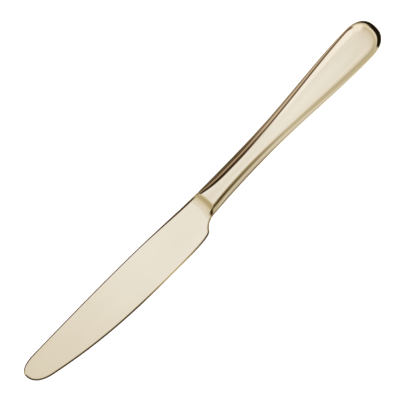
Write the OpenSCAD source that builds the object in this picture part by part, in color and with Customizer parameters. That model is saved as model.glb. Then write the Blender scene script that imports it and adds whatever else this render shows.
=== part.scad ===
// Table knife with a hollow handle.
// The blade is one forging with its bolster, spigot and tang. Cement holds the tang
// in a handle of two pressed half shells, brazed together round their rims.
// The tip points along +X, the cutting edge faces +Y, and the knife lies flat on Z = 0.

/* [Blade] */
// Length of the blade, from the shoulder line to the tip
blade_len = 116.7; // [100:0.1:135]
// Furthest reach of the cutting edge from the handle's centre line
edge_reach = 12.5; // [11:0.05:15]
// Furthest reach of the spine from the handle's centre line
spine_reach = 9.1; // [8.5:0.05:11]
// Distance of the nose from the handle's centre line, towards the spine
nose_offset = 4.2; // [3:0.1:5]
// Distance of the heel's steepest point from the shoulder line
heel_at = 6.6; // [5:0.1:9]
// Distance of the belly's deepest point from the shoulder line
belly_at = 22; // [18:0.5:30]
// Thickness of the spine at the shoulder line
spine_root_t = 2.4; // [2:0.1:3]
// Thickness of the spine at the tip
spine_tip_t = 1.6; // [1.2:0.1:2]
// Thickness of the blade just behind the cutting edge, at the belly
belly_t = 1.2; // [0.9:0.05:1.4]
// Thickness left at the cutting edge
edge_t = 0.2; // [0.1:0.05:0.4]
// Width of the ground bevel along the cutting edge
bevel_w = 0.9; // [0.5:0.1:1.2]
// Width of the eased corners along the spine, near the shoulder
spine_ease = 1.4; // [1:0.05:1.5]
// Width of the eased corners along the choil and round the nose
choil_ease = 0.7; // [0.5:0.05:0.8]
// Slope of the eased corners, in degrees
ease_slope = 29; // [20:1:32]

/* [Bolster] */
// Width over the shoulders, where the blade meets the bolster
shoulder_w = 13.2; // [12.2:0.1:14.4]
// How far the shoulders lie off the handle's centre line, towards the cutting edge
shoulder_shift = 0.3; // [0:0.05:0.6]
// Distance from the shoulder line back to the handle's mouth
bolster_len = 4.6; // [4:0.1:8]
// Distance from the shoulder line back to the ramp's crest
ramp_back = 3.6; // [2:0.1:3.8]
// Length of the ramp from its crest to its foot on the blade
ramp_len = 6.4; // [5.5:0.1:9]
// Radius of the crest line, seen from above
crest_r = 25; // [18:1:40]

/* [Handle] */
// Length of the handle, from the shoulder line to its rounded end
handle_len = 118.3; // [100:0.1:135]
// Thickness of the handle between its two flat faces
handle_t = 7; // [6.6:0.1:8]
// Width of the handle at the narrowest place
neck_w = 11.8; // [10.8:0.1:12.6]
// Distance of the narrowest place from the shoulder line
neck_at = 32; // [26:0.5:38]
// Width of the handle at the widest place
end_w = 18.3; // [16:0.1:20]
// Length of the rounded end
cap_len = 12; // [10.5:0.1:15]
// Width of the sloping flank at the shoulder on the spine's side
spine_flank_w = 1.1; // [0.9:0.1:2]
// Width of the sloping flank at the shoulder on the edge's side
edge_flank_w = 3.2; // [2:0.1:3.4]
// Width of the sloping flanks along the neck
neck_flank_w = 4.2; // [3.4:0.05:4.4]
// Distance from the shoulder line to where the neck's flanks are full
flank_run = 18; // [10:0.5:20]
// Distance from the shoulder line to the waist, where the handle swells behind the neck
waist_at = 54; // [46:0.5:62]
// Width of the sloping flank at the widest place
end_flank_w = 5; // [4:0.1:5.6]
// Width of the sloping flank at the very end
tip_flank_w = 7.5; // [6:0.1:7.8]
// Width of the rolled rim outside the flanks, where the two shells meet
roll_w = 0.15; // [0.1:0.05:0.4]

/* [Shells] */
// Wall of the half shells at the flat faces
shell_wall = 0.8; // [0.6:0.05:0.9]
// Width of the rims where the half shells meet
rim_w = 1.1; // [0.9:0.05:1.4]
// Thickness of the braze between the rims
seam_t = 0.16; // [0.1:0.02:0.3]
// Depth of the step that the spigot seats in, inside the mouth
seat_step = 0.2; // [0.1:0.05:0.3]

/* [Tang and cement] */
// Length of the spigot inside the handle's mouth
spigot_len = 3; // [2:0.1:5]
// Gap between the spigot and its seat
spigot_gap = 0.05; // [0.02:0.01:0.08]
// Length of the tang behind the spigot
tang_len = 56; // [40:1:65]
// Width of the tang at its root
tang_root_w = 5.2; // [4:0.1:5.6]
// Width of the tang at its rounded end
tang_end_w = 3.2; // [2.4:0.1:3.8]
// Thickness of the tang
tang_t = 2.6; // [2:0.1:3]
// Length of cement past the end of the tang
cement_past = 6; // [2:0.5:12]

/* [Hidden] */

// Overrun of the cuts, past the solids that they cut
overrun = 1;
// Length and inset of the blade's root, which sinks into the bolster
root_len = 4;
root_sink = 0.8;
// How far the spigot reaches into the bolster
spigot_sink = 0.8;
// How far the ramp's foot lies below the blade's face
foot_depth = 0.02;
// Width of the blade's eased corners at the ramp's foot, where they start
root_ease = 0.1;

half_t = handle_t / 2;
shoulder = shoulder_w / 2;
edge_shoulder = shoulder + shoulder_shift;
cap_at = handle_len - cap_len;
cement_from = bolster_len + spigot_len;
cement_to = cement_from + tang_len + cement_past;
ramp_foot = ramp_len - ramp_back;

// Powers of the curves: the flare ahead of the neck, the swell behind it, and the rounded end seen
// from above
flare_power = 2.1;
swell_power = 1.1;
cap_power = 2.4;

// Section of the flanks: the slope of each facet in degrees, from the crease to the rim, and the ends of
// the facets as shares of that way. It is nearly a chamfer at the neck and soft round the end.
flank_slopes = [4, 10, 17, 24, 30, 35, 38, 42, 44];
neck_shares = [0, 0.05, 0.1, 0.16, 0.22, 0.46, 0.69, 0.97, 0.985, 1];
waist_shares = [0, 0.16, 0.3, 0.34, 0.4, 0.51, 0.535, 0.56, 0.8, 1];
end_shares = [0, 0.18, 0.42, 0.7, 0.77, 0.83, 0.88, 0.92, 0.985, 1];
tip_shares = [0, 0.2, 0.52, 0.64, 0.72, 0.79, 0.86, 0.985, 0.9925, 1];

// Counts of the facets along the curves
roll_steps = 3;
flank_steps = roll_steps + len(flank_slopes);
side_steps = 16;
cap_steps = 14;
bolster_steps = 8;
heel_steps = 16;
belly_steps = 14;
nose_steps = 12;

// Control points of the spine after the shoulder: shares of the blade's length and of the spine's reach
spine_shares = [[0.17, 0.745], [0.25, 1.015], [0.9, 1], [0.926, 1], [1, 1.02]];
// Control points of the choil: shares of the heel's distance, and of the rise from shoulder to edge
choil_shares = [[0.4, 0.03], [0.74, 0.258], [1, 0.672], [1.206, 1]];
// Where the heel's last control point lies, as a share of the way from the heel to the belly
heel_share = 0.62;
// Control points of the edge past the belly: shares of the way to the tip and of the edge's reach
edge_shares = [[0.28, 0.955], [0.539, 0.966], [0.897, 0.351], [0.937, 0.282], [1, 0.104]];
// How far the bevel takes to grow past the heel, and where the rims start to change towards the nose
bevel_grow_share = 0.5;
nose_share = 0.88;
// How far the flank's crease moves in for each unit of wall
crease_share = 0.4;

// Smooth step from 0 to 1
function ease(t) = let (c = max(0, min(1, t))) c * c * (3 - 2 * c);
function mix(a, b, t) = a + (b - a) * t;

// Point of a chain of cubic curves, on the curve that starts at control point k
function curve_point(chain, k, t) =
  let (s = 1 - t)
  chain[k] * s * s * s + chain[k + 1] * 3 * s * s * t
  + chain[k + 2] * 3 * s * t * t + chain[k + 3] * t * t * t;

// The parameter at which that curve reaches x, by halving
function curve_at(chain, k, x, low = 0, high = 1, turns = 30) =
  let (mid = (low + high) / 2)
  turns == 0 ? mid
  : curve_point(chain, k, mid).x < x ? curve_at(chain, k, x, mid, high, turns - 1)
  : curve_at(chain, k, x, low, mid, turns - 1);

function chain_point(chain, x) =
  let (k = [for (i = [0:3:len(chain) - 4]) if (x <= chain[i + 3].x) i][0])
  curve_point(chain, k, curve_at(chain, k, x));

// Faces of a loft through count loops of size points each, which run clockwise seen from +X
// and follow each other towards +X
function span_faces(count, size) =
  [for (k = [0:count - 2], p = [0:size - 1])
    let (q = (p + 1) % size)
    [k * size + p, k * size + q, (k + 1) * size + q, (k + 1) * size + p]];
function rear_face(size) = [for (p = [size - 1:-1:0]) p];
function front_face(count, size) = [for (p = [0:size - 1]) (count - 1) * size + p];

// Outline of the blade: the spine and the edge, both from the shoulder to the nose
nose = [blade_len, -nose_offset];
belly = [belly_at, edge_reach];
spine_chain = concat(
  [[0, shoulder_shift - shoulder]],
  [for (s = spine_shares) [s.x * blade_len, -s.y * spine_reach]],
  [nose]
);
edge_chain = concat(
  [[0, edge_shoulder]],
  [for (s = choil_shares) [s.x * heel_at, mix(edge_shoulder, edge_reach, s.y)]],
  [[mix(heel_at, belly_at, heel_share), edge_reach], belly],
  [for (s = edge_shares) [mix(belly_at, blade_len, s.x), s.y * edge_reach]],
  [nose]
);
nose_from = mix(belly_at, blade_len, edge_shares[2].x);
blade_xs = concat(
  [for (i = [0:heel_steps]) belly_at * i / heel_steps],
  [for (i = [1:belly_steps]) mix(belly_at, nose_from, i / belly_steps)],
  [for (i = [1:nose_steps]) mix(nose_from, blade_len, sin(90 * i / nose_steps))]
);

// Half thickness of the blade: a plane through the spine's root, the spine's tip and the belly
function plane_through(a, b, c) = let (n = cross(b - a, c - a)) [n.x / n.z, n.y / n.z, n * a / n.z];
face_plane = plane_through(
  [0, shoulder_shift - shoulder, spine_root_t / 2],
  [blade_len, -spine_reach, spine_tip_t / 2],
  [belly_at, edge_reach, belly_t / 2]
);
function face_z(p) = face_plane.z - face_plane.x * p.x - face_plane.y * p.y;

// How sharp the edge's rim is at x, from 0 at the choil and the nose to 1 along the edge
function near_nose(x) = ease((x / blade_len - nose_share) / (1 - nose_share));
function sharpness(x) = ease((x / heel_at - 1) / bevel_grow_share) * (1 - near_nose(x));

// Widths of the spine's and the edge's rims at x, which grow from the ramp's foot
function from_root(width, x) = mix(root_ease, width, ease((x - ramp_foot) / heel_at));
function spine_rim_w(x) = mix(from_root(spine_ease, x), choil_ease, x / blade_len);
function edge_rim_w(x) = mix(from_root(choil_ease, x), bevel_w, sharpness(x));

// Rim of the blade at station k of a side: the outline point, its half thickness, the point at the
// rim's inner border, and the half thickness there
function rim(points, k, turn, width, sharp) =
  let (
    last = len(points) - 1,
    along = k == last ? [0, turn] : points[k + 1] - points[max(0, k - 1)],
    inward = turn * [-along.y, along.x] / norm(along),
    p = points[k],
    q = p + inward * width
  )
  [p, mix(face_z(p) - width * tan(ease_slope), edge_t / 2, sharp), q, face_z(q)];
function at_z(p, z) = [p.x, p.y, z];
function blade_loop(s, e) = [
  at_z(s[0], -s[1]), at_z(s[0], s[1]), at_z(s[2], s[3]), at_z(e[2], e[3]),
  at_z(e[0], e[1]), at_z(e[0], -e[1]), at_z(e[2], -e[3]), at_z(s[2], -s[3])
];

module blade_plate() {
  spine = [for (x = blade_xs) chain_point(spine_chain, x)];
  edge = [for (x = blade_xs) chain_point(edge_chain, x)];
  last = len(blade_xs) - 1;
  rims = [for (k = [0:last])
    let (x = blade_xs[k])
    [rim(spine, k, 1, spine_rim_w(x), 0), rim(edge, k, -1, edge_rim_w(x), sharpness(x))]];
  root = [for (r = [[rims[0][0], 1], [rims[0][1], -1]])
    [for (i = [0:3]) i % 2 == 1 ? r[0][i] : r[0][i] + [-root_len, r[1] * root_sink]]];
  loops = concat(
    [blade_loop(root[0], root[1])],
    [for (k = [0:last - 1]) blade_loop(rims[k][0], rims[k][1])]
  );
  size = len(loops[0]);
  tip = rims[last][0];
  tip_points = [at_z(tip[0], -tip[1]), at_z(tip[0], tip[1]), at_z(tip[2], tip[3]), at_z(tip[2], -tip[3])];
  // the tip's point that each point of the last loop runs to
  tip_of = [0, 1, 2, 2, 1, 0, 3, 3];
  start = (len(loops) - 1) * size;
  tip_start = len(loops) * size;
  tip_faces = [for (p = [0:size - 1])
    let (q = (p + 1) % size)
    tip_of[p] == tip_of[q]
      ? [start + p, start + q, tip_start + tip_of[p]]
      : [start + p, start + q, tip_start + tip_of[q], tip_start + tip_of[p]]];
  polyhedron(
    concat([for (l = loops) each l], tip_points),
    concat(span_faces(len(loops), size), [rear_face(size)], tip_faces)
  );
}

// The handle at distance u behind the shoulder line: 0 at the neck and 1 at the widest place for swell,
// 1 at the shoulder line and 0 at the neck for flare
function swell(u) = ease(pow(max(0, (u - neck_at) / (cap_at - neck_at)), swell_power));
function flare(u) = pow(max(0, 1 - u / neck_at), flare_power);
function half_w(u) = mix(mix(neck_w, end_w, swell(u)) / 2, shoulder, flare(u));
function middle_y(u) = shoulder_shift * flare(u);
function flank_w(u, turn) =
  let (
    short = max(0, 1 - max(0, u) / flank_run),
    shoulder_flank_w = turn < 0 ? spine_flank_w : edge_flank_w
  )
  mix(mix(neck_flank_w, end_flank_w, swell(u)), shoulder_flank_w, short * short);

// Shares of the flank's facets at u: from the neck to the waist, and on to the widest place
function flank_shares(u) =
  u < waist_at
    ? mix(neck_shares, waist_shares, ease((u - neck_at) / (waist_at - neck_at)))
    : mix(waist_shares, end_shares, ease((u - waist_at) / (cap_at - waist_at)));

// A station of the handle's skin, moved in by side and top: the point on the outline, the point on
// the crease, the shares of the flank's facets between them and the height of the crease. Turn is -1 on
// the spine's side and 1 on the edge's.
function side_station(u, turn, side, top) = [
  [-u, middle_y(u) + turn * (half_w(u) - side)],
  [-u, middle_y(u) + turn * (half_w(u) - flank_w(u, turn) - crease_share * top)],
  flank_shares(u),
  half_t - top
];
function cap_station(angle, turn, side, top) =
  let (
    c = pow(cos(angle), 2 / cap_power),
    s = pow(sin(angle), 2 / cap_power),
    crease_in = crease_share * top
  )
  [
    [-cap_at - (cap_len - side) * s, turn * (end_w / 2 - side) * c],
    [-cap_at - (cap_len - tip_flank_w - crease_in) * s, turn * (end_w / 2 - end_flank_w - crease_in) * c],
    mix(end_shares, tip_shares, s),
    half_t - top
  ];

// Points of a station's flank: up the rolled rim from the seam, then up the slopes to the crease
function fall(shares, width, j) =
  j == 0 ? 0
  : fall(shares, width, j - 1) + width * (shares[j] - shares[j - 1]) * tan(flank_slopes[j - 1]);
function flank(station) =
  let (
    out = station[0],
    crease = station[1],
    reach = norm(out - crease),
    width = reach - roll_w,
    rim = mix(crease, out, width / reach),
    shares = station[2],
    last = len(flank_slopes),
    rim_z = station[3] - fall(shares, width, last)
  )
  concat(
    [for (i = [0:roll_steps - 1])
      let (a = 90 * i / roll_steps)
      at_z(mix(rim, out, cos(a)), mix(seam_t / 2, rim_z, sin(a)))],
    [for (j = [last:-1:0])
      at_z(mix(crease, rim, shares[j]), station[3] - fall(shares, width, j))]
  );
function flip(points, count) = [for (i = [count - 1:-1:0]) points[i]];
function under(points) = [for (p = points) at_z(p, -p.z)];

// Closed section of the handle at u, clockwise seen from +X
function section(u, side, top) =
  let (
    size = flank_steps + 1,
    s = flank(side_station(u, -1, side, top)),
    e = flank(side_station(u, 1, side, top))
  )
  concat(s, flip(e, size), under(e), flip(under(s), size));

module handle_loft(rear, front, steps, side, top) {
  loops = [for (i = [0:steps]) section(mix(rear, front, i / steps), side, top)];
  size = len(loops[0]);
  polyhedron(
    [for (l = loops) each l],
    concat(span_faces(len(loops), size), [rear_face(size), front_face(len(loops), size)])
  );
}

// Stations round the handle, from the mouth along the spine's side, round the end and back
function half_round(turn, side, top) = concat(
  [for (i = [0:side_steps]) side_station(mix(bolster_len, cap_at, i / side_steps), turn, side, top)],
  [for (i = [1:cap_steps]) cap_station(90 * i / cap_steps, turn, side, top)]
);
last_side = side_steps + cap_steps;
last_station = 2 * last_side;
function all_round(side, top) =
  concat(half_round(-1, side, top), flip(half_round(1, side, top), last_side));

// The upper half shell: the skin outside, the same skin moved in by the walls, and the rim and
// mouth that join the two
module shell_body() {
  levels = flank_steps + 1;
  outer = [for (s = all_round(0, 0)) each flank(s)];
  inner = [for (s = all_round(rim_w, shell_wall)) each flank(s)];
  inside = len(outer);
  function id(i, j) = i * levels + j;
  function id_in(i, j) = inside + id(i, j);
  skin = [for (i = [0:last_station - 1], j = [0:flank_steps - 1])
    [id(i, j), id(i + 1, j), id(i + 1, j + 1), id(i, j + 1)]];
  lining = [for (i = [0:last_station - 1], j = [0:flank_steps - 1])
    [id_in(i, j), id_in(i, j + 1), id_in(i + 1, j + 1), id_in(i + 1, j)]];
  rim_faces = [for (i = [0:last_station - 1]) [id(i, 0), id_in(i, 0), id_in(i + 1, 0), id(i + 1, 0)]];
  function across(i) = last_station - i;
  function strip(i) = i == last_side - 1
    ? [[i, i + 1, across(i)]]
    : [[i, i + 1, across(i + 1), across(i)]];
  flat = [for (i = [0:last_side - 1], f = strip(i)) [for (k = f) id(k, flank_steps)]];
  flat_in = [for (i = [0:last_side - 1], f = strip(i))
    [for (k = [len(f) - 1:-1:0]) id_in(f[k], flank_steps)]];
  n = last_station;
  mouth = concat(
    [for (j = [0:flank_steps - 1]) [id(0, j), id(0, j + 1), id_in(0, j + 1), id_in(0, j)]],
    [for (j = [0:flank_steps - 1]) [id(n, j), id_in(n, j), id_in(n, j + 1), id(n, j + 1)]],
    [[id(0, flank_steps), id(n, flank_steps), id_in(n, flank_steps), id_in(0, flank_steps)]]
  );
  polyhedron(concat(outer, inner), concat(skin, lining, rim_faces, flat, flat_in, mouth));
}

// The seat inside the mouth, and the spigot that fits it with a gap
module seat_cut() {
  handle_loft(cement_from, bolster_len - overrun, bolster_steps, rim_w - seat_step, shell_wall - seat_step);
}
module spigot() {
  inset = spigot_gap - seat_step;
  handle_loft(cement_from, bolster_len - spigot_sink, bolster_steps, rim_w + inset, shell_wall + inset);
}

module tang_outline() {
  round_at = cement_from + tang_len - tang_end_w / 2;
  polygon([
    [-bolster_len, -tang_root_w / 2], [-round_at, -tang_end_w / 2],
    [-round_at, tang_end_w / 2], [-bolster_len, tang_root_w / 2]
  ]);
  translate([-round_at, 0]) circle(d = tang_end_w, $fn = 48);
}
module tang() {
  linear_extrude(tang_t, center = true) tang_outline();
}

// The hollow ramp from the bolster's flat face down to the blade. It is turned about an axis that
// stands square on the blade's face, on the blade's side of the crest, and starts just below the face.
module ramp_cut() {
  axis_at = [crest_r - ramp_back, 0];
  rise = half_t - face_z([ramp_foot, 0]);
  hollow_r = (ramp_len * ramp_len + rise * rise) / (2 * rise);
  foot_r = crest_r - ramp_len;
  height = rise + overrun;
  lean = norm([face_plane.x, face_plane.y]);
  lean_axis = [-face_plane.y, face_plane.x, 0];
  translate(at_z(axis_at, face_z(axis_at) - foot_depth)) rotate(atan(lean), lean_axis)
    rotate_extrude($fn = 180) {
      square([foot_r, height]);
      translate([foot_r, 0]) intersection() {
        translate([0, hollow_r]) circle(r = hollow_r, $fn = 120);
        square([hollow_r, height]);
      }
    }
}
module bolster() {
  difference() {
    handle_loft(bolster_len, -ramp_foot, bolster_steps, 0, 0);
    ramp_cut();
    mirror([0, 0, 1]) ramp_cut();
  }
}

// Moves the knife to its own frame: the middle of its box, lying on Z = 0
module placed() {
  translate([
    (handle_len - blade_len) / 2,
    (max(spine_reach, end_w / 2) - max(edge_reach, end_w / 2)) / 2,
    half_t
  ]) children();
}

module blade() {
  color([0.86, 0.79, 0.64]) placed() union() {
    blade_plate();
    bolster();
    spigot();
    tang();
  }
}

module handle_shell_top() {
  color([0.85, 0.77, 0.61]) placed() difference() {
    shell_body();
    seat_cut();
  }
}

module handle_shell_bottom() {
  color([0.82, 0.74, 0.58]) placed() mirror([0, 0, 1]) difference() {
    shell_body();
    seat_cut();
  }
}

module seam_braze() {
  outer = [for (s = all_round(0, 0)) s[0]];
  inner = [for (s = all_round(rim_w, shell_wall)) s[0]];
  color([0.72, 0.6, 0.38]) placed() difference() {
    linear_extrude(seam_t, center = true) polygon(concat(outer, flip(inner, len(inner))));
    seat_cut();
  }
}

module tang_cement() {
  color([0.6, 0.58, 0.53]) placed() difference() {
    handle_loft(cement_to, cement_from, side_steps, rim_w, shell_wall);
    tang();
  }
}

blade();
handle_shell_top();
handle_shell_bottom();
seam_braze();
tang_cement();
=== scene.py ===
"""A pale gold table knife on a white studio floor, seen from straight above.

The blade and the two half shells of the handle are fine meshes that follow the sizes and curves of
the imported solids, with smoother flanks and softer corners. The braze and the cement stay as packed.
"""

import math

import bpy
import numpy as np
from mathutils import Matrix


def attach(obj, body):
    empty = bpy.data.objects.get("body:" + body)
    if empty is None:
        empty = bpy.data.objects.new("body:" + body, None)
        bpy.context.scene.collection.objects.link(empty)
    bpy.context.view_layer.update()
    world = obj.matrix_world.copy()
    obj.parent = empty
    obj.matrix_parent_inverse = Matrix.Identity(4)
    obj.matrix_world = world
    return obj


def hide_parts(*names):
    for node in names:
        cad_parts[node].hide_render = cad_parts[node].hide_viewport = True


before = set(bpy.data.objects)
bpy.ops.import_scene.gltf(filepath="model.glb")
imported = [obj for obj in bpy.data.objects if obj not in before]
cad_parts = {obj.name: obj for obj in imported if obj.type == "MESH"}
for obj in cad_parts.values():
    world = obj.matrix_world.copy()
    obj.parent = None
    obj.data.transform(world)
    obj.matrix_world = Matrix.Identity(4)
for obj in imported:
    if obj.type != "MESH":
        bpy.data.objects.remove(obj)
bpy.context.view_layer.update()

# Sizes of the knife in millimetres, in its own frame: X runs from the shoulder line to the tip,
# the handle's centre line is Y = 0, the edge faces +Y, and Z = 0 is the middle of the thickness.
MM = 0.001

# The blade, and the eased corners along its spine, its choil and its root
BLADE_LEN = 116.7
EDGE_REACH = 12.5
SPINE_REACH = 9.1
NOSE_OFFSET = 4.2
HEEL_AT = 6.6
BELLY_AT = 22.0
SPINE_ROOT_T = 2.4
SPINE_TIP_T = 1.6
BELLY_T = 1.2
EDGE_T = 0.2
BEVEL_W = 0.9
SPINE_EASE = 1.4
SPINE_EASE_RUN = 38.0
CHOIL_EASE = 0.7
ROOT_EASE = 0.1
EASE_SLOPE = math.radians(29)
EASE_SOFT_SHARE = 0.25

# The bolster, and the ramp that rises from the blade to the handle
SHOULDER_W = 13.2
SHOULDER_SHIFT = 0.3
BOLSTER_LEN = 4.6
RAMP_BACK = 3.6
RAMP_LEN = 6.4
CREST_R = 25.0
CREST_SOFT = 0.8

# The handle and its flanks
HANDLE_LEN = 118.3
HANDLE_T = 7.0
NECK_W = 11.8
NECK_AT = 32.0
END_W = 18.3
CAP_LEN = 12.0
SPINE_FLANK_W = 1.1
EDGE_FLANK_W = 3.5
NECK_FLANK_W = 4.2
FLANK_RUN = 18.0
NECK_END = 26.0
WAIST_AT = 48.0
END_FLANK_W = 5.0
TIP_FLANK_W = 7.5
ROLL_W = 0.15

# The half shells' walls, the spigot in their mouth and the tang
SHELL_WALL = 0.8
RIM_W = 1.1
SEAM_T = 0.16
SEAT_STEP = 0.2
SPIGOT_LEN = 3.0
SPIGOT_GAP = 0.05
TANG_LEN = 56.0
TANG_ROOT_W = 5.2
TANG_END_W = 3.2
TANG_T = 2.6

# Powers of the handle's curves
FLARE_POWER = 2.1
SWELL_POWER = 1.1
CAP_POWER = 2.4

# A flank is a row of facets from its crease to its rim. These are the facets' slopes in degrees, and
# their ends as shares of that way: at the shoulder on the edge's side, the neck, the waist, the widest
# place and the very end. Round the end, the edge's side takes the last ones on sooner than the spine's.
FLANK_SLOPES = np.array([4, 10, 17, 24, 30, 35, 38, 42, 44])
SHOULDER_SHARES = np.array([0, 0.04, 0.08, 0.4, 0.85, 0.9, 0.93, 0.96, 0.98, 1])
NECK_SHARES = np.array([0, 0.05, 0.1, 0.16, 0.22, 0.44, 0.49, 0.53, 0.59, 1])
WAIST_SHARES = np.array([0, 0.16, 0.3, 0.34, 0.39, 0.49, 0.51, 0.53, 0.75, 1])
END_SHARES = np.array([0, 0.18, 0.44, 0.77, 0.82, 0.865, 0.9, 0.93, 0.985, 1])
TIP_SHARES = np.array([0, 0.25, 0.46, 0.56, 0.605, 0.645, 0.8, 0.985, 0.9925, 1])
EDGE_TIP_LEAD = 1.25

# How far the lining's crease moves in with its depth, and the small step along the shoulder's crease
CREASE_SHARE = 0.4
CREASE_STEP = 1.1
STEP_SHARES = (0.12, 0.38)

# Control points of the blade's outline, as shares of the sizes that they follow
SPINE_SHARES = [(0.17, 0.745), (0.25, 1.015), (0.9, 1), (0.926, 1), (1, 1.02)]
CHOIL_SHARES = [(0.4, 0.03), (0.74, 0.258), (1, 0.672), (1.206, 1)]
HEEL_SHARE = 0.62
EDGE_SHARES = [(0.28, 0.955), (0.539, 0.966), (0.897, 0.351), (0.937, 0.282), (1, 0.104)]

# How far past the heel the ground edge grows, and where it starts to end before the nose
BEVEL_GROW_SHARE = 0.5
NOSE_SHARE = 0.88

# Painted shade along the handle's creases and rims, dark lines that stand in for dark reflections: how
# strong it is, how far it runs from the shoulder, how much longer the rims keep it, where it lies on the
# flank and how far it spreads there
CREASE_PAINTED_SHADE = 1.25
RIM_PAINTED_SHADE = 0.62
PAINTED_SHADE_RUN = 56.0
RIM_LEAD = 2.0
PAINTED_SHADE_SHARE = 0.33
SHOULDER_PAINTED_SHADE_SHARE = 0.27
PAINTED_SHADE_SPREAD_SHARE = 0.16
SPINE_RIM_SHARE = 0.55
EDGE_RIM_SHARE = 0.77
RIM_SPREAD_SHARE = 0.14

# Painted shade in the notch where the edge's flank meets the ramp, a dark spot that stands in for shadow
# and dark reflection: its width, its middle and its fading by the flank's height above the ramp, how far
# ahead of the shoulder line it ends and where on the flank it starts
NOTCH_W = 0.6
NOTCH_LIFT = 0.15
NOTCH_FADE = 0.3
NOTCH_REACH = 1.6
NOTCH_POWER = 4
NOTCH_FROM_SHARE = PAINTED_SHADE_SHARE / 2

# Painted shade along the blade's edge, a dark line that stands in for dark reflections, with a clear
# stretch past the belly
EDGE_PAINTED_SHADE = 0.92
EDGE_PAINTED_SHADE_W = 1.125
EDGE_PAINTED_SHADE_SOFT = EDGE_PAINTED_SHADE_W / 2
CHOIL_PAINTED_SHADE = 0.4
EDGE_CLEAR_AT = 32.0
EDGE_CLEAR_RUN = 25.0

# How finely the meshes are drawn, and the angle in degrees above which an edge stays sharp
FALL_STEPS = 401
SEAT_STATIONS = 7
HANDLE_STATIONS = 101
CAP_STATIONS = 61
FLANK_LEVELS = 44
ROLL_LEVELS = 7
LINING_FLANK_LEVELS = 12
LINING_ROLL_LEVELS = 4
SPINE_STEPS = 1500
EDGE_STEPS = 900
HALF_ACROSS = 52
FIRST_ACROSS = 0.03
ACROSS_POWER = 2.2
TANG_ROUND_STATIONS = 10
TANG_ROUND_FROM = 0.1
SPIGOT_STATIONS = 6
BOLSTER_STATIONS = 47
CHOIL_STATIONS = 91
HEEL_STATIONS = 41
BELLY_STATIONS = 101
NOSE_STATIONS = 61
CHOIL_FINE_SHARE = 1.5
BLADE_SHARP = 38
SHELL_SHARP = 40

# Sizes worked out from those above
HALF_T = HANDLE_T / 2
SHOULDER = SHOULDER_W / 2
EDGE_SHOULDER = SHOULDER + SHOULDER_SHIFT
CAP_AT = HANDLE_LEN - CAP_LEN
SPIGOT_END = BOLSTER_LEN + SPIGOT_LEN
RAMP_FOOT = RAMP_LEN - RAMP_BACK
PLACE = np.array([(HANDLE_LEN - BLADE_LEN) / 2, (SPINE_REACH - EDGE_REACH) / 2, HALF_T])

# The photograph's frame: the knife's length and slant in it, and the pixel where its box's middle lies
IMAGE_PX = 400
KNIFE_PX = 494.7
SLANT = math.radians(46.13)
MIDDLE_PX = (206.56, 206.93)
CAMERA_HEIGHT = 1.0
SENSOR_W = 36.0


def mix(a, b, t):
    return a + (b - a) * t


def ease(t):
    c = np.clip(t, 0, 1)
    return c * c * (3 - 2 * c)


# Meshes

def add_piece(name, points, faces, sharp_above, painted_shade):
    """A closed smooth mesh from points in millimetres in the knife's own frame, with their painted shade."""
    mesh = bpy.data.meshes.new(name)
    mesh.from_pydata(((points + PLACE) * MM).tolist(), [], faces)
    mesh.shade_smooth()
    mesh.set_sharp_from_angle(angle=math.radians(sharp_above))
    # The painted shade (dark reflections and shadow) goes on the mesh as a point attribute that darkens the
    # material
    mesh.attributes.new("painted_shade", "FLOAT", "POINT").data.foreach_set("value", painted_shade)
    piece = bpy.data.objects.new(name, mesh)
    bpy.context.scene.collection.objects.link(piece)
    return piece


def grid_faces(ids):
    """Quads between the neighbouring rows and columns of a grid of points."""
    corners = [ids[:-1, :-1], ids[:-1, 1:], ids[1:, 1:], ids[1:, :-1]]
    return np.stack(corners, -1).reshape(-1, 4).tolist()


def both_ends(count):
    """Shares from 0 to 1 that crowd at both ends."""
    return (1 - np.cos(np.linspace(0, math.pi, count))) / 2


def flank_fall(facets, shares):
    """How far a flank falls over a width of 1, at shares of the way from its crease to its rim.

    Each facet keeps its slope over its middle half, and the slope runs straight from there to the next.
    """
    quarter = (facets[1:] - facets[:-1]) / 4
    knots = np.stack([facets[:-1] + quarter, facets[1:] - quarter], 1).ravel()
    slopes = np.repeat(FLANK_SLOPES, 2)
    fine = np.linspace(0, 1, FALL_STEPS)
    steep = np.tan(np.radians(np.interp(fine, knots, slopes)))
    fall = np.concatenate([[0], np.cumsum(steep[1:] + steep[:-1]) / 2 / (FALL_STEPS - 1)])
    return np.interp(shares, fine, fall)


# The handle. A station is given by u, its distance behind the shoulder line, and a side by its turn,
# which is -1 on the spine's side and 1 on the edge's.

def swell(u):
    """0 at the neck, 1 at the handle's widest place."""
    return ease(np.maximum(0, (u - NECK_AT) / (CAP_AT - NECK_AT)) ** SWELL_POWER)


def flare(u):
    """1 at the shoulder line, 0 from the neck on."""
    return np.maximum(0, 1 - u / NECK_AT) ** FLARE_POWER


def half_w(u):
    return mix(mix(NECK_W, END_W, swell(u)) / 2, SHOULDER, flare(u))


def middle_y(u):
    return SHOULDER_SHIFT * flare(u)


def to_shoulder(u):
    """1 at the shoulder line, 0 from the end of the flank's run on."""
    return np.clip(1 - u / FLANK_RUN, 0, 1) ** 2


def flank_w(u, turn):
    shoulder_flank_w = SPINE_FLANK_W if turn < 0 else EDGE_FLANK_W
    return mix(mix(NECK_FLANK_W, END_FLANK_W, swell(u)), shoulder_flank_w, to_shoulder(u))


def near_shoulder(u, turn):
    """As to_shoulder on the edge's side, and 0 on the spine's."""
    return to_shoulder(u) * (turn > 0)


def crease_step(share):
    """How much of the small step along the shoulder's crease has fallen at a share of the flank."""
    return CREASE_STEP * ease((share - STEP_SHARES[0]) / (STEP_SHARES[1] - STEP_SHARES[0]))


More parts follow.
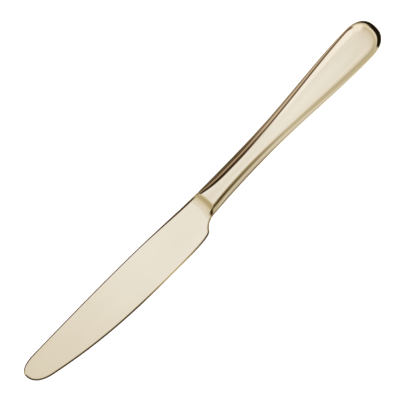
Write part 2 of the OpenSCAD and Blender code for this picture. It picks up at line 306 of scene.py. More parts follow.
def flank_shares(u, turn):
    """Ends of the flank's facets: from the shoulder to the neck, to the waist and to the widest place."""
    u = np.asarray(u)[..., None]
    neck = mix(NECK_SHARES, SHOULDER_SHARES, near_shoulder(u, turn))
    to_waist = ease((u - NECK_END) / (WAIST_AT - NECK_END))
    to_end = np.clip((u - WAIST_AT) / (CAP_AT - WAIST_AT), 0, 1)
    return mix(mix(neck, WAIST_SHARES, to_waist), END_SHARES, to_end)


def flank_painted_shade(u, share, turn):
    """Painted shade along the flank's crease and rim, dark lines that stand in for dark reflections,
    strongest at the shoulder and gone well before the end.
    """
    fade = np.clip(1 - u / PAINTED_SHADE_RUN, 0, 1)
    middle = mix(PAINTED_SHADE_SHARE, SHOULDER_PAINTED_SHADE_SHARE, near_shoulder(u, turn))
    crease = np.exp(-((share - middle) / PAINTED_SHADE_SPREAD_SHARE) ** 2)
    on_crease = np.clip(CREASE_PAINTED_SHADE * fade * crease, 0, 1)
    rim = ease((share - np.where(turn > 0, EDGE_RIM_SHARE, SPINE_RIM_SHARE)) / RIM_SPREAD_SHARE)
    on_rim = RIM_PAINTED_SHADE * ease(RIM_LEAD * fade) * rim
    return np.maximum(on_crease, on_rim)


def half_round(turn, us, angles, side, top):
    """Outline, crease and facets' ends along one side of the handle and round half of its end.

    The functions side and top say how far in a skin lies at a station.
    """
    outline_y = half_w(us) - side(us)
    crease_y = half_w(us) - flank_w(us, turn) - CREASE_SHARE * top(us)
    outline = np.stack([-us, middle_y(us) + turn * outline_y], 1)
    crease = np.stack([-us, middle_y(us) + turn * crease_y], 1)

    side_end = side(us[-1])
    crease_in = CREASE_SHARE * top(us[-1])
    c = np.cos(angles) ** (2 / CAP_POWER)
    s = np.sin(angles) ** (2 / CAP_POWER)
    end_outline = np.stack([
        -CAP_AT - (CAP_LEN - side_end) * s,
        turn * (END_W / 2 - side_end) * c,
    ], 1)
    end_crease = np.stack([
        -CAP_AT - (CAP_LEN - TIP_FLANK_W - crease_in) * s,
        turn * (END_W / 2 - END_FLANK_W - crease_in) * c,
    ], 1)
    to_tip = ease(EDGE_TIP_LEAD * s) if turn > 0 else s
    end_facets = mix(END_SHARES, TIP_SHARES, to_tip[:, None])
    return (
        np.concatenate([outline, end_outline]),
        np.concatenate([crease, end_crease]),
        np.concatenate([flank_shares(us, turn), end_facets]),
    )


def skin(us, angles, side, top, shares, rolls):
    """Points of the upper half shell's skin: one row per station, from the seam up to the crease."""
    spine = half_round(-1, us, angles, side, top)
    edge = half_round(1, us, angles, side, top)
    outline, crease, facets = [np.concatenate([s, e[-2::-1]]) for s, e in zip(spine, edge)]
    end_top = np.full(2 * len(angles) - 1, top(us[-1]))
    height = HALF_T - np.concatenate([top(us), end_top, top(us[::-1])])
    reach = np.linalg.norm(outline - crease, axis=1)[:, None]
    width = reach - ROLL_W
    rim = crease + (outline - crease) * width / reach
    fall = np.array([flank_fall(row, shares) for row in facets]) * width
    step = np.zeros(len(outline))
    step[-len(us):] = near_shoulder(us[::-1], 1)
    z_flank = height[:, None] - fall - step[:, None] * crease_step(shares)
    xy_flank = mix(crease[:, None], rim[:, None], shares[None, :, None])
    z_roll = mix(SEAM_T / 2, z_flank[:, -1:], np.sin(rolls)[None, :])
    xy_roll = mix(rim[:, None], outline[:, None], np.cos(rolls)[None, :, None])
    flank = np.concatenate([xy_flank, z_flank[:, :, None]], 2)[:, ::-1]
    roll = np.concatenate([xy_roll, z_roll[:, :, None]], 2)
    return np.concatenate([roll, flank], 1)


def roll_angles(count):
    """Angles up the rolled rim, from the seam to just below the flank."""
    return np.linspace(0, math.pi / 2, count)[:-1]


def no_depth(u):
    return 0 * u


def seat_depth(u):
    """How far the spigot's seat is let into the lining."""
    return np.where(u < SPIGOT_END, SEAT_STEP, 0)


def lining_side(u):
    return RIM_W - seat_depth(u)


def lining_top(u):
    return SHELL_WALL - seat_depth(u)


def flat_face(row):
    """The flat inside a crease that runs up one side of the handle and down the other."""
    last = len(row) // 2
    far = row[::-1]
    strip = [[row[i], far[i], far[i + 1], row[i + 1]] for i in range(last - 1)]
    return strip + [[row[last - 1], far[last - 1], row[last]]]


def shell_piece(name, up):
    """One half shell, the upper one if up is 1 and the lower one if it is -1.

    It has the skin, its lining with the spigot's seat, the rim and the mouth.
    """
    seat_us = np.linspace(BOLSTER_LEN, SPIGOT_END, SEAT_STATIONS)
    us = np.concatenate([seat_us, np.linspace(SPIGOT_END, CAP_AT, HANDLE_STATIONS)[1:]])
    angles = np.linspace(0, math.pi / 2, CAP_STATIONS)[1:]
    shares = both_ends(FLANK_LEVELS)
    rolls = roll_angles(ROLL_LEVELS)
    lining_shares = both_ends(LINING_FLANK_LEVELS)
    lining_rolls = roll_angles(LINING_ROLL_LEVELS)
    outer = skin(us, angles, no_depth, no_depth, shares, rolls)
    inner = skin(us, angles, lining_side, lining_top, lining_shares, lining_rolls)
    ids = np.arange(outer.size // 3).reshape(outer.shape[:2])
    ids_in = ids.size + np.arange(inner.size // 3).reshape(inner.shape[:2])

    faces = grid_faces(ids) + grid_faces(ids_in[:, ::-1])
    faces += np.stack([ids[:-1, 0], ids[1:, 0], ids_in[1:, 0], ids_in[:-1, 0]], -1).tolist()
    faces += flat_face(ids[:, -1])
    faces += [face[::-1] for face in flat_face(ids_in[:, -1])]
    arch = np.concatenate([ids[0], ids[-1, ::-1]])
    arch_in = np.concatenate([ids_in[0], ids_in[-1, ::-1]])
    faces.append(np.concatenate([arch[::-1], arch_in]).tolist())

    # Painted shade on the outer skin's flanks, standing in for dark reflections; the lining gets none
    painted_shade = np.zeros(ids.size + ids_in.size)
    painted_shade[ids[:, len(rolls):]] = flank_painted_shade(-outer[:, -1:, 0], shares[None, ::-1], outer[:, -1:, 1])
    points = np.concatenate([outer.reshape(-1, 3), inner.reshape(-1, 3)])
    if up < 0:
        points = points * (1, 1, -1)
        faces = [face[::-1] for face in faces]
    return add_piece(name, points, faces, SHELL_SHARP, painted_shade)


# The blade, with its bolster, spigot and tang

def curve_points(chain, count):
    """Points along a chain of cubic curves."""
    t = np.linspace(0, 1, count)[:, None]
    s = 1 - t
    chain = np.array(chain, float)
    arcs = []
    for k in range(0, len(chain) - 1, 3):
        a, b, c, d = chain[k:k + 4]
        arcs.append(a * s**3 + b * 3 * s * s * t + c * 3 * s * t * t + d * t**3)
    return np.concatenate([arcs[0]] + [arc[1:] for arc in arcs[1:]])


NOSE = (BLADE_LEN, -NOSE_OFFSET)
SPINE_LINE = curve_points(
    [(0, SHOULDER_SHIFT - SHOULDER)]
    + [(x * BLADE_LEN, -y * SPINE_REACH) for x, y in SPINE_SHARES]
    + [NOSE],
    SPINE_STEPS)
EDGE_LINE = curve_points(
    [(0, EDGE_SHOULDER)]
    + [(x * HEEL_AT, mix(EDGE_SHOULDER, EDGE_REACH, y)) for x, y in CHOIL_SHARES]
    + [(mix(HEEL_AT, BELLY_AT, HEEL_SHARE), EDGE_REACH), (BELLY_AT, EDGE_REACH)]
    + [(mix(BELLY_AT, BLADE_LEN, x), y * EDGE_REACH) for x, y in EDGE_SHARES]
    + [NOSE],
    EDGE_STEPS)


def plane_through(a, b, c):
    """The plane z = height - slope_x * x - slope_y * y through three points."""
    n = np.cross(np.subtract(b, a), np.subtract(c, a))
    return n[0] / n[2], n[1] / n[2], np.dot(n, a) / n[2]


FACE_X, FACE_Y, FACE_Z = plane_through(
    (0, SHOULDER_SHIFT - SHOULDER, SPINE_ROOT_T / 2),
    (BLADE_LEN, -SPINE_REACH, SPINE_TIP_T / 2),
    (BELLY_AT, EDGE_REACH, BELLY_T / 2),
)


def face_z(x, y):
    """Half thickness of the blade, from a plane through its spine's root, its spine's tip and its belly."""
    return FACE_Z - FACE_X * x - FACE_Y * y


def distance_to(line, x, y):
    """Distances of the places y across a station from an outline."""
    return np.sqrt(((line[None, :, 0] - x) ** 2 + (line[None, :, 1] - y[:, None]) ** 2).min(1))


def near_nose(x):
    """0 along the blade, 1 at its nose."""
    return ease((x / BLADE_LEN - NOSE_SHARE) / (1 - NOSE_SHARE))


def sharpness(x):
    """1 where the edge is ground, 0 on the choil and at the nose."""
    return ease((x / HEEL_AT - 1) / BEVEL_GROW_SHARE) * (1 - near_nose(x))


def spine_rim_w(x):
    return mix(SPINE_EASE, CHOIL_EASE, ease(x / SPINE_EASE_RUN))


def edge_rim_w(x):
    return mix(mix(ROOT_EASE, CHOIL_EASE, ease(x / RAMP_FOOT)), BEVEL_W, sharpness(x))


def rounded_in(t):
    """A straight rise whose start, at 0, is rounded."""
    c = np.clip(t, 0, 1)
    return np.where(c < EASE_SOFT_SHARE, c * c / (2 * EASE_SOFT_SHARE), c - EASE_SOFT_SHARE / 2)


def eased(distance, width):
    """How far an eased corner falls at a distance from its outline."""
    return rounded_in(1 - distance / width) * width * math.tan(EASE_SLOPE)


def rim_fall(x, y):
    """How far the blade's eased corners and its ground edge fall below its face across a station."""
    spine = eased(distance_to(SPINE_LINE, x, y), spine_rim_w(x))
    edge_w = edge_rim_w(x)
    from_edge = distance_to(EDGE_LINE, x, y)
    bevel = rounded_in(1 - from_edge / edge_w) * (face_z(x, y) - EDGE_T / 2)
    return np.maximum(spine, mix(eased(from_edge, edge_w), bevel, sharpness(x)))


def section_z(u, y, side, top):
    """Half height of the handle's section across a station, moved in by side and top."""
    off = y - middle_y(u)
    z = np.empty_like(y)
    for turn in (-1, 1):
        here = off * turn >= 0
        reach = flank_w(u, turn) + CREASE_SHARE * top - side
        width = reach - ROLL_W
        along = np.abs(off[here]) - (half_w(u) - side - reach)
        share = np.clip(along / width, 0, 1)
        fall = width * flank_fall(flank_shares(u, turn), share)
        step = near_shoulder(u, turn) * crease_step(share)
        round_rim = np.clip((along - width) / ROLL_W, 0, 1)
        z[here] = mix(SEAM_T / 2, HALF_T - top - fall - step, np.sqrt(1 - round_rim**2))
    return z


def soft_min(a, b, reach):
    """The lower of two heights, rounded where they lie within reach of each other."""
    near = np.maximum(reach - np.abs(a - b), 0) / reach
    return np.minimum(a, b) - near * near * reach / 4


def ramp_run(x, y):
    """How far inside the ramp's foot a place lies, measured from the ramp's axis."""
    return np.hypot(x - (CREST_R - RAMP_BACK), y) - (CREST_R - RAMP_LEN)


def ramp_z(x, y):
    """The hollow ramp that runs down to the blade's face."""
    rise = HALF_T - face_z(RAMP_FOOT, 0)
    hollow_r = (RAMP_LEN**2 + rise**2) / (2 * rise)
    run = np.clip(ramp_run(x, y), 0, hollow_r)
    return face_z(x, y) + hollow_r - np.sqrt(hollow_r**2 - run**2)


def bolster_z(x, y):
    """The handle's section ahead of the mouth, cut by the ramp."""
    return soft_min(section_z(-x, y, 0, 0), ramp_z(x, y), CREST_SOFT)


def shoulder_painted_shade(x, y):
    """Painted shade on the bolster: on its flanks as on the handle's, and in the notch between flank and
    ramp, where it stands in for shadow and dark reflection.
    """
    u = -x
    above_ramp = section_z(u, y, 0, 0) - ramp_z(x, y)
    in_notch = np.exp(-((above_ramp - NOTCH_LIFT) / NOTCH_W) ** NOTCH_POWER)
    painted_shade = np.zeros_like(y)
    for turn in (-1, 1):
        off = turn * (y - middle_y(u))
        reach = flank_w(u, turn)
        share = (off - (half_w(u) - reach)) / (reach - ROLL_W)
        flank = flank_painted_shade(u, share, turn) * np.clip(-above_ramp / NOTCH_FADE, 0, 1)
        notch = in_notch * ease((share - NOTCH_FROM_SHARE) / NOTCH_FROM_SHARE) * (turn > 0)
        painted_shade = np.where((off >= 0) & (share <= 1), np.maximum(flank, notch), painted_shade)
    return painted_shade * np.clip(1 - x / NOTCH_REACH, 0, 1)


def edge_painted_shade(x, y):
    """Painted shade along the edge, a dark line that stands in for dark reflections: faint at the choil's
    root, strong at the heel and towards the nose.
    """
    along_edge = EDGE_PAINTED_SHADE * ease(abs(x - EDGE_CLEAR_AT) / EDGE_CLEAR_RUN)
    strength = along_edge * mix(CHOIL_PAINTED_SHADE, 1, ease((x - RAMP_FOOT) / HEEL_AT))
    return ease((EDGE_PAINTED_SHADE_W - distance_to(EDGE_LINE, x, y)) / EDGE_PAINTED_SHADE_SOFT) * strength


def across(low, high):
    """Places from one outline to the other, close together at the outlines."""
    half = (high - low) / 2
    growth = np.linspace(0, 1, HALF_ACROSS) ** ACROSS_POWER
    steps = np.maximum(growth, np.minimum(1, np.arange(HALF_ACROSS) * FIRST_ACROSS / half)) * half
    return np.concatenate([low + steps, (high - steps)[-2::-1]])


# The rows of the blade run from the tang's end to the nose. A row is a station's x, the places across
# it, and the half heights and the painted shade there.

def tang_row(x, width):
    y = across(-width / 2, width / 2)
    return x, y, np.full_like(y, TANG_T / 2), np.zeros_like(y)


def tang_rows():
    round_r = TANG_END_W / 2
    tang_end = SPIGOT_END + TANG_LEN
    rows = []
    for angle in np.linspace(TANG_ROUND_FROM, math.pi / 2, TANG_ROUND_STATIONS):
        rows.append(tang_row(-tang_end + round_r * (1 - math.cos(angle)), TANG_END_W * math.sin(angle)))
    return rows + [tang_row(-SPIGOT_END, TANG_ROOT_W)]


def spigot_rows():
    side = RIM_W - SEAT_STEP + SPIGOT_GAP
    top = SHELL_WALL - SEAT_STEP + SPIGOT_GAP
    rows = []
    for u in np.linspace(SPIGOT_END, BOLSTER_LEN, SPIGOT_STATIONS):
        half = half_w(u) - side
        y = across(middle_y(u) - half, middle_y(u) + half)
        rows.append((-u, y, section_z(u, y, side, top), np.zeros_like(y)))
    return rows


def bolster_rows():
    rows = []
    for x in np.linspace(-BOLSTER_LEN, 0, BOLSTER_STATIONS):
        low = middle_y(-x) - half_w(-x)
        y = across(low, middle_y(-x) + half_w(-x))
        down_ramp = ease((x + RAMP_BACK) / RAMP_BACK)
        z = bolster_z(x, y) - down_ramp * eased(y - low, SPINE_EASE)
        rows.append((x, y, z, shoulder_painted_shade(x, y)))
    return rows


def face_rows():
    fine_to = HEEL_AT * CHOIL_FINE_SHARE
    nose_from = mix(BELLY_AT, BLADE_LEN, EDGE_SHARES[2][0])
    to_nose = np.sin(np.linspace(0, math.pi / 2, NOSE_STATIONS))
    xs = np.concatenate([
        np.linspace(0, fine_to, CHOIL_STATIONS)[1:],
        np.linspace(fine_to, BELLY_AT, HEEL_STATIONS)[1:],
        np.linspace(BELLY_AT, nose_from, BELLY_STATIONS)[1:],
        mix(nose_from, BLADE_LEN, to_nose)[1:-1],
    ])
    rows = []
    for x in xs:
        low = np.interp(x, SPINE_LINE[:, 0], SPINE_LINE[:, 1])
        high = np.interp(x, EDGE_LINE[:, 0], EDGE_LINE[:, 1])
        y = across(low, high)
        z = face_z(x, y)
        # Painted shade along the edge, and on the bolster near the ramp, standing in for dark reflections
        # and shadow
        painted_shade = edge_painted_shade(x, y)
        if x < RAMP_LEN:
            z = np.where(ramp_run(x, y) > 0, np.maximum(z, bolster_z(x, y)), z)
            painted_shade = np.maximum(painted_shade, shoulder_painted_shade(x, y))
        rows.append((x, y, z - rim_fall(x, y), painted_shade))
    return rows


def blade_piece():
    """The blade as one loop of points per row, closed at the tang's end and at the nose."""
    loops = []
    painted_shade = []
    for x, y, z, dark in tang_rows() + spigot_rows() + bolster_rows() + face_rows():
        upper = np.stack([np.full_like(y, x), y, z], 1)
        loops.append(np.concatenate([upper, upper[::-1] * (1, 1, -1)]))
        painted_shade.append(np.concatenate([dark, dark[::-1]]))
    size = len(loops[0])
    ids = np.arange(len(loops) * size).reshape(-1, size)
    ring = np.concatenate([ids, ids[:, :1]], 1)
    faces = grid_faces(ring[:, ::-1])
    faces.append(ids[0].tolist())
    faces.append(ids[-1, ::-1].tolist())
    return add_piece("knife_blade", np.concatenate(loops), faces, BLADE_SHARP, np.concatenate(painted_shade))


# Shader nodes

# The sockets that a mix node uses for colours
MIX_FACTOR = 0
MIX_A = 6
MIX_B = 7
MIX_RESULT = 2


def feed(tree, socket, value):
    """Links another node's output to a socket, or sets the socket's own value."""
    if isinstance(value, bpy.types.NodeSocket):
        tree.links.new(value, socket)
    else:
        socket.default_value = value


def add_node(tree, kind, inputs=None, **settings):
    node = tree.nodes.new(kind)
    for name, value in settings.items():
        setattr(node, name, value)
    for name, value in (inputs or {}).items():
        feed(tree, node.inputs[name], value)
    return node


def maths(tree, operation, *values):
    node = add_node(tree, "ShaderNodeMath", operation=operation)
    for socket, value in zip(node.inputs, values):
        feed(tree, socket, value)
    return node.outputs[0]


def map_range(tree, value, low, high, to_low=0.0, to_high=1.0, **settings):
    limits = {"From Min": low, "From Max": high, "To Min": to_low, "To Max": to_high}
    return add_node(tree, "ShaderNodeMapRange", {"Value": value, **limits}, **settings).outputs["Result"]


def smooth(tree, value, low, high):
    return map_range(tree, value, low, high, interpolation_type="SMOOTHSTEP")


def opaque(colour):
    return (*colour, 1)


def mix_colours(tree, factor, a, b):
    node = add_node(tree, "ShaderNodeMix", data_type="RGBA")
    feed(tree, node.inputs[MIX_FACTOR], factor)
    feed(tree, node.inputs[MIX_A], a)
    feed(tree, node.inputs[MIX_B], b)
    return node.outputs[MIX_RESULT]


def ramp_node(tree, factor, stops):
    """A colour ramp through (place, colour) stops."""
    node = add_node(tree, "ShaderNodeValToRGB", {"Fac": factor})
    ramp = node.color_ramp
    while len(ramp.elements) < len(stops):
        ramp.elements.new(1.0)
    for element, (place, colour) in zip(ramp.elements, stops):
        element.position = place
        element.color = opaque(colour)
    return node.outputs["Color"]


def to_output(tree, shader, kind="ShaderNodeOutputMaterial"):
    output = tree.nodes.new(kind)
    tree.links.new(shader.outputs[0], output.inputs["Surface"])


def new_material(name):
    material = bpy.data.materials.new(name)
    material.use_nodes = True
    material.node_tree.nodes.clear()
    return material, material.node_tree


# Materials

# Colours of the gold, in pairs that it varies between
BLADE_TONES = ((0.82, 0.745, 0.59), (0.84, 0.765, 0.61))
BLADE_DEEP_TONES = ((0.74, 0.65, 0.47), (0.755, 0.665, 0.49))
HANDLE_TONES = ((0.82, 0.745, 0.585), (0.84, 0.765, 0.605))
DEEPEN_FROM = 40.0
# Painted shade: the brown and the black that the gold turns to where the mesh marks dark reflections and
# shadow
PAINTED_SHADE_BROWN = (0.44, 0.345, 0.21)
PAINTED_SHADE_BLACK = (0.05, 0.028, 0.006)
BROWN_AT = 0.5

# The finish: polishing lines and hairlines drawn out along the knife, and clouds of colour
BLADE_ROUGHNESS = (0.05, 0.09)
HANDLE_ROUGHNESS = (0.03, 0.06)
BLADE_LINE_SCALE = 700
HANDLE_LINE_SCALE = 500
LINE_STRETCH = 40
LINE_BUMP = 0.02
LINE_DEPTH = 0.0002
CLOUD_SCALE = 90
CLOUD_STRETCH = 3
CLOUD_DETAIL = 2.0
HAIR_SCALE = 2600
HAIR_STRETCH = 14
HAIR_DETAIL = 1.0
HAIR_FROM = 0.62
HAIR_FULL = 0.78
HAIR_ROUGHNESS = 0.05
NOISE_DETAIL = 3.0
NOISE_ROUGHNESS = 0.6
NOISE_LOW = 0.3
NOISE_HIGH = 0.7

# The braze and the cement
BRAZE_TONES = ((0.6, 0.46, 0.26), (0.72, 0.58, 0.36))
BRAZE_ROUGHNESS = (0.25, 0.4)
BRAZE_GRAIN = 900
CEMENT_TONES = ((0.5, 0.48, 0.43), (0.64, 0.62, 0.57))
CEMENT_ROUGHNESS = (0.8, 0.95)
CEMENT_GRAIN = 1500
GRAIN_BUMP = 0.2
GRAIN_DEPTH = 0.0001


def stretched_noise(tree, stretch, scale, detail=NOISE_DETAIL):
    """Noise in the knife's own coordinates, drawn out along its length."""
    place = add_node(tree, "ShaderNodeTexCoord").outputs["Object"]
    drawn = add_node(tree, "ShaderNodeMapping", {"Vector": place, "Scale": (1 / stretch, 1, 1)})
    grain = {"Scale": scale, "Detail": detail, "Roughness": NOISE_ROUGHNESS}
    return add_node(tree, "ShaderNodeTexNoise", {"Vector": drawn.outputs["Vector"], **grain}).outputs["Fac"]


def varied_colour(tree, noise, tones):
    return ramp_node(tree, noise, [(NOISE_LOW, tones[0]), (NOISE_HIGH, tones[1])])


def gold_steel(name, tones, roughness, line_scale, deep_tones=None):
    """Polished steel with a thin pale gold coat: polishing lines, faint clouds, hairlines and painted shade,
    brown and black over the gold that stand in for dark reflections and shadow.

    With deep tones, the gold gets a little deeper towards the blade's tip.
    """
    material, tree = new_material(name)
    lines = stretched_noise(tree, LINE_STRETCH, line_scale)
    clouds = stretched_noise(tree, CLOUD_STRETCH, CLOUD_SCALE, CLOUD_DETAIL)
    hairs = stretched_noise(tree, HAIR_STRETCH, HAIR_SCALE, HAIR_DETAIL)
    colour = varied_colour(tree, clouds, tones)
    if deep_tones:
        place = add_node(tree, "ShaderNodeTexCoord").outputs["Object"]
        split = add_node(tree, "ShaderNodeSeparateXYZ", {"Vector": place})
        along = map_range(tree, split.outputs["X"], DEEPEN_FROM * MM, BLADE_LEN * MM)
        colour = mix_colours(tree, along, colour, varied_colour(tree, clouds, deep_tones))

    # Painted shade from the mesh's attribute: the gold turns brown, then black, where dark reflections and
    # shadow would fall
    painted_shade = add_node(tree, "ShaderNodeAttribute", attribute_name="painted_shade").outputs["Fac"]
    shaded_brown = map_range(tree, painted_shade, 0.0, BROWN_AT)
    colour = mix_colours(tree, shaded_brown, colour, opaque(PAINTED_SHADE_BROWN))
    shaded_black = map_range(tree, painted_shade, BROWN_AT, 1.0)
    colour = mix_colours(tree, shaded_black, colour, opaque(PAINTED_SHADE_BLACK))

    polish = map_range(tree, lines, NOISE_LOW, NOISE_HIGH, *roughness)
    hair_mask = map_range(tree, hairs, HAIR_FROM, HAIR_FULL)
    worn = maths(tree, "MULTIPLY_ADD", hair_mask, HAIR_ROUGHNESS, polish)
    relief = {"Height": lines, "Strength": LINE_BUMP, "Distance": LINE_DEPTH}
    bump = add_node(tree, "ShaderNodeBump", relief)
    to_output(tree, add_node(tree, "ShaderNodeBsdfPrincipled", {
        "Base Color": colour,
        "Metallic": 1.0,
        "Roughness": worn,
        "Normal": bump.outputs["Normal"],
    }))
    return material


def plain_matter(name, tones, metallic, roughness, grain):
    """Braze or cement: a mottled surface with a fine grain."""
    material, tree = new_material(name)
    cloud = stretched_noise(tree, 1, grain)
    relief = {"Height": cloud, "Strength": GRAIN_BUMP, "Distance": GRAIN_DEPTH}
    bump = add_node(tree, "ShaderNodeBump", relief)
    to_output(tree, add_node(tree, "ShaderNodeBsdfPrincipled", {
        "Base Color": varied_colour(tree, cloud, tones),
        "Metallic": metallic,
        "Roughness": map_range(tree, cloud, NOISE_LOW, NOISE_HIGH, *roughness),
        "Normal": bump.outputs["Normal"],
    }))
    return material


# Studio

FLOOR_SIZE = 12.0
FLOOR_WHITE = (0.9, 0.9, 0.9)
FLOOR_GLOW = (0.7, 0.72, 0.8)
LENS_SPOT = (0.94, 0.93, 0.955)
TOP_LIGHT = (0.985, 1.005, 1.07)
FLAG_BLACK = (0.012, 0.008, 0.004)

# Degrees from straight up to level, and a number too small to show that keeps a division sound
LEVEL = 90.0
TINY = 1e-6

# Where the walls along the knife take over from those beside it, by the squared cosine of the turn
WALL_SHARES = (0.1, 0.9)

# Where the card and the flag by the handle's end start and stop, in degrees round from straight
# behind the end towards the edge's side, and how far from straight up the flag's top is
CARD_START = (-70.0, -58.0)
CARD_STOP = (-20.0, -38.0)
FLAG_START = (-62.0, -45.0)
FLAG_STOP = (61.5, 53.0)
FLAG_TOP_TURNS = (-50.0, 12.0)
FLAG_TOPS = (80.5, 70.0)
FLAG_SOFT = 4.0


def studio_floor():
    """A white floor whose colour is lifted to white where it is seen, directly or in the metal."""
    half = FLOOR_SIZE / 2
    corners = [(-half, -half, 0), (half, -half, 0), (half, half, 0), (-half, half, 0)]
    mesh = bpy.data.meshes.new("studio_floor")
    mesh.from_pydata(corners, [], [(0, 1, 2, 3)])
    floor = bpy.data.objects.new("studio_floor", mesh)
    bpy.context.scene.collection.objects.link(floor)
    material, tree = new_material("white_floor")
    path = add_node(tree, "ShaderNodeLightPath").outputs
    seen = maths(tree, "MAXIMUM", path["Is Camera Ray"], path["Is Glossy Ray"])
    seen = maths(tree, "MAXIMUM", seen, path["Is Transmission Ray"])
    matte = add_node(tree, "ShaderNodeBsdfDiffuse", {"Color": opaque(FLOOR_WHITE)})
    lift = add_node(tree, "ShaderNodeEmission", {"Color": opaque(FLOOR_GLOW), "Strength": seen})
    both = tree.nodes.new("ShaderNodeAddShader")
    tree.links.new(matte.outputs["BSDF"], both.inputs[0])
    tree.links.new(lift.outputs["Emission"], both.inputs[1])
    to_output(tree, both)
    mesh.materials.append(material)


def by_angle(*stops):
    """Colour stops given by their angle from straight up, in degrees."""
    return [(angle / LEVEL, colour) for angle, colour in stops]


SPINE_WALL = by_angle(
    (0, LENS_SPOT), (1.8, LENS_SPOT), (3.4, TOP_LIGHT), (12, (0.98, 1.0, 1.06)), (22, (1.08, 1.08, 1.16)),
    (40, (1.08, 1.07, 1.12)), (46, (0.6, 0.54, 0.48)), (50, (0.12, 0.075, 0.045)), (62, (0.1, 0.06, 0.035)),
    (67, (0.38, 0.26, 0.18)), (72, (0.36, 0.24, 0.16)), (75, (0.15, 0.11, 0.055)), (78, (0.15, 0.11, 0.055)),
    (82, (0.76, 0.64, 0.54)), (85, (0.74, 0.62, 0.5)), (87, (0.3, 0.24, 0.18)), (90, (0.3, 0.24, 0.18)))
EDGE_WALL = by_angle(
    (0, LENS_SPOT), (1.8, LENS_SPOT), (3.4, TOP_LIGHT), (9, (0.97, 0.965, 0.99)), (20, (0.9, 0.865, 0.84)),
    (34, (0.58, 0.53, 0.395)), (48, (0.64, 0.59, 0.45)), (60, (0.59, 0.53, 0.385)), (70, (0.69, 0.63, 0.47)),
    (76, (0.62, 0.57, 0.44)), (84, (0.84, 0.81, 0.735)), (88, (0.66, 0.63, 0.58)), (90, (0.66, 0.63, 0.58)))
TIP_WALL = by_angle(
    (0, LENS_SPOT), (1.8, LENS_SPOT), (3.4, TOP_LIGHT), (4.75, (0.975, 0.99, 1.055)),
    (5.85, (0.955, 0.965, 1.01)), (8, (0.93, 0.93, 0.95)), (14, (0.9, 0.88, 0.87)), (24, (0.87, 0.84, 0.82)),
    (36, (0.83, 0.79, 0.72)), (48, (0.76, 0.71, 0.55)), (60, (0.56, 0.48, 0.31)), (74, (0.53, 0.45, 0.29)),
    (90, (0.6, 0.5, 0.35)))
END_WALL = by_angle(
    (0, LENS_SPOT), (1.8, LENS_SPOT), (2.5, TOP_LIGHT), (3.65, (0.99, 1.025, 1.1)),
    (4.9, (0.955, 0.98, 1.04)), (6.4, (0.9, 0.89, 0.9)), (11, (0.87, 0.85, 0.84)), (17, (0.84, 0.8, 0.77)),
    (26, (0.79, 0.73, 0.67)), (35, (0.69, 0.61, 0.48)), (42, (0.69, 0.61, 0.48)), (52, (0.92, 0.86, 0.77)),
    (66, (0.9, 0.82, 0.7)), (90, (0.66, 0.56, 0.42)))
CORNER_CARD = by_angle(
    (0, LENS_SPOT), (1.8, LENS_SPOT), (3.4, TOP_LIGHT), (5, (0.955, 0.98, 1.04)), (8, (0.92, 0.92, 0.94)),
    (15, (0.92, 0.91, 0.92)), (24, (1.03, 1.02, 1.05)), (40, (1.08, 1.05, 1.06)), (70, (1.06, 1.0, 0.94)),
    (75, (0.9, 0.83, 0.72)), (79, (0.38, 0.32, 0.24)), (90, (0.35, 0.29, 0.21)))


def wall_colour(tree, x, y, fall):
    """The walls by their angle from straight up, mixed from one to the next round the knife."""
    walls = (END_WALL, TIP_WALL, SPINE_WALL, EDGE_WALL)
    end, tip, spine, edge = [ramp_node(tree, fall, wall) for wall in walls]
    along = mix_colours(tree, maths(tree, "GREATER_THAN", x, 0.0), end, tip)
    aside = mix_colours(tree, maths(tree, "GREATER_THAN", y, 0.0), spine, edge)
    xx = maths(tree, "MULTIPLY", x, x)
    yy = maths(tree, "MULTIPLY", y, y)
    flat = maths(tree, "ADD", maths(tree, "ADD", xx, yy), TINY)
    way_along = maths(tree, "DIVIDE", xx, flat)
    return mix_colours(tree, smooth(tree, way_along, *WALL_SHARES), aside, along)


def card_mask(tree, end_turn):
    return maths(tree, "MULTIPLY", smooth(tree, end_turn, *CARD_START), smooth(tree, end_turn, *CARD_STOP))


def flag_mask(tree, end_turn, angle):
    """The flag, which reaches further up on the edge's side than on the spine's."""
    top = map_range(tree, end_turn, *FLAG_TOP_TURNS, *FLAG_TOPS)
    below_top = smooth(tree, maths(tree, "SUBTRACT", angle, top), 0.0, FLAG_SOFT)
    started = smooth(tree, end_turn, *FLAG_START)
    stopped = smooth(tree, end_turn, *FLAG_STOP)
    return maths(tree, "MULTIPLY", maths(tree, "MULTIPLY", started, stopped), below_top)


def studio_light():
    """A pale light overhead that falls off to warm walls, with a white card and a black flag."""
    world = bpy.data.worlds.new("studio")
    bpy.context.scene.world = world
    world.use_nodes = True
    tree = world.node_tree
    tree.nodes.clear()
    toward = add_node(tree, "ShaderNodeTexCoord").outputs["Generated"]
    x, y, z = add_node(tree, "ShaderNodeSeparateXYZ", {"Vector": toward}).outputs
    angle = maths(tree, "DEGREES", maths(tree, "ARCCOSINE", z))
    fall = maths(tree, "DIVIDE", angle, LEVEL)
    behind = maths(tree, "MULTIPLY", x, -1.0)
    end_turn = maths(tree, "DEGREES", maths(tree, "ARCTAN2", y, behind))
    colour = wall_colour(tree, x, y, fall)
    colour = mix_colours(tree, card_mask(tree, end_turn), colour, ramp_node(tree, fall, CORNER_CARD))
    colour = mix_colours(tree, flag_mask(tree, end_turn, angle), colour, opaque(FLAG_BLACK))
    background = add_node(tree, "ShaderNodeBackground", {"Color": colour, "Strength": 1.0})
    to_output(tree, background, "ShaderNodeOutputWorld")


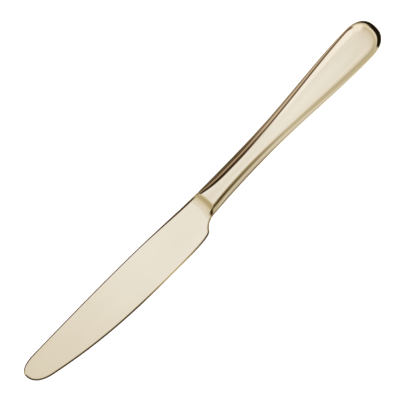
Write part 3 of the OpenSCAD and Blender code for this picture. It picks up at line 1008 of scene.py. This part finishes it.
def photo_camera():
    """A long lens straight above, turned so that the knife slants as in the photograph."""
    right = np.array([-math.cos(SLANT), math.sin(SLANT), 0])
    up = np.array([-math.sin(SLANT), -math.cos(SLANT), 0])
    pixel = (HANDLE_LEN + BLADE_LEN) * MM / KNIFE_PX
    off_right = IMAGE_PX / 2 - MIDDLE_PX[0]
    off_up = MIDDLE_PX[1] - IMAGE_PX / 2
    target = (right * off_right + up * off_up) * pixel + (0, 0, HALF_T * MM)
    data = bpy.data.cameras.new("photo_camera")
    data.sensor_width = SENSOR_W
    data.lens = SENSOR_W * CAMERA_HEIGHT / (IMAGE_PX * pixel)
    camera = bpy.data.objects.new("photo_camera", data)
    bpy.context.scene.collection.objects.link(camera)
    turn = Matrix((right, up, (0, 0, 1))).transposed().to_4x4()
    turn.translation = target + (0, 0, CAMERA_HEIGHT)
    camera.matrix_world = turn
    bpy.context.scene.camera = camera


# The knife

def dress(piece, node, material):
    """The piece takes a node's place, moves with the knife and wears the material."""
    piece.data.materials.append(material)
    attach(piece, "root")
    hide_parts(node)


def cover(node, material):
    """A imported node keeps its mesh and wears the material."""
    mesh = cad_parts[node].data
    mesh.materials.clear()
    mesh.materials.append(material)


def main():
    bpy.context.scene.view_settings.view_transform = "Standard"
    photo_camera()
    studio_floor()
    studio_light()

    blade_gold = gold_steel("blade_gold", BLADE_TONES, BLADE_ROUGHNESS, BLADE_LINE_SCALE, BLADE_DEEP_TONES)
    handle_gold = gold_steel("handle_gold", HANDLE_TONES, HANDLE_ROUGHNESS, HANDLE_LINE_SCALE)
    dress(blade_piece(), "blade", blade_gold)
    dress(shell_piece("handle_top", 1), "handle_shell_top", handle_gold)
    dress(shell_piece("handle_bottom", -1), "handle_shell_bottom", handle_gold)
    cover("seam_braze", plain_matter("brass_braze", BRAZE_TONES, 1.0, BRAZE_ROUGHNESS, BRAZE_GRAIN))
    cover("tang_cement", plain_matter("grey_cement", CEMENT_TONES, 0.0, CEMENT_ROUGHNESS, CEMENT_GRAIN))


main()
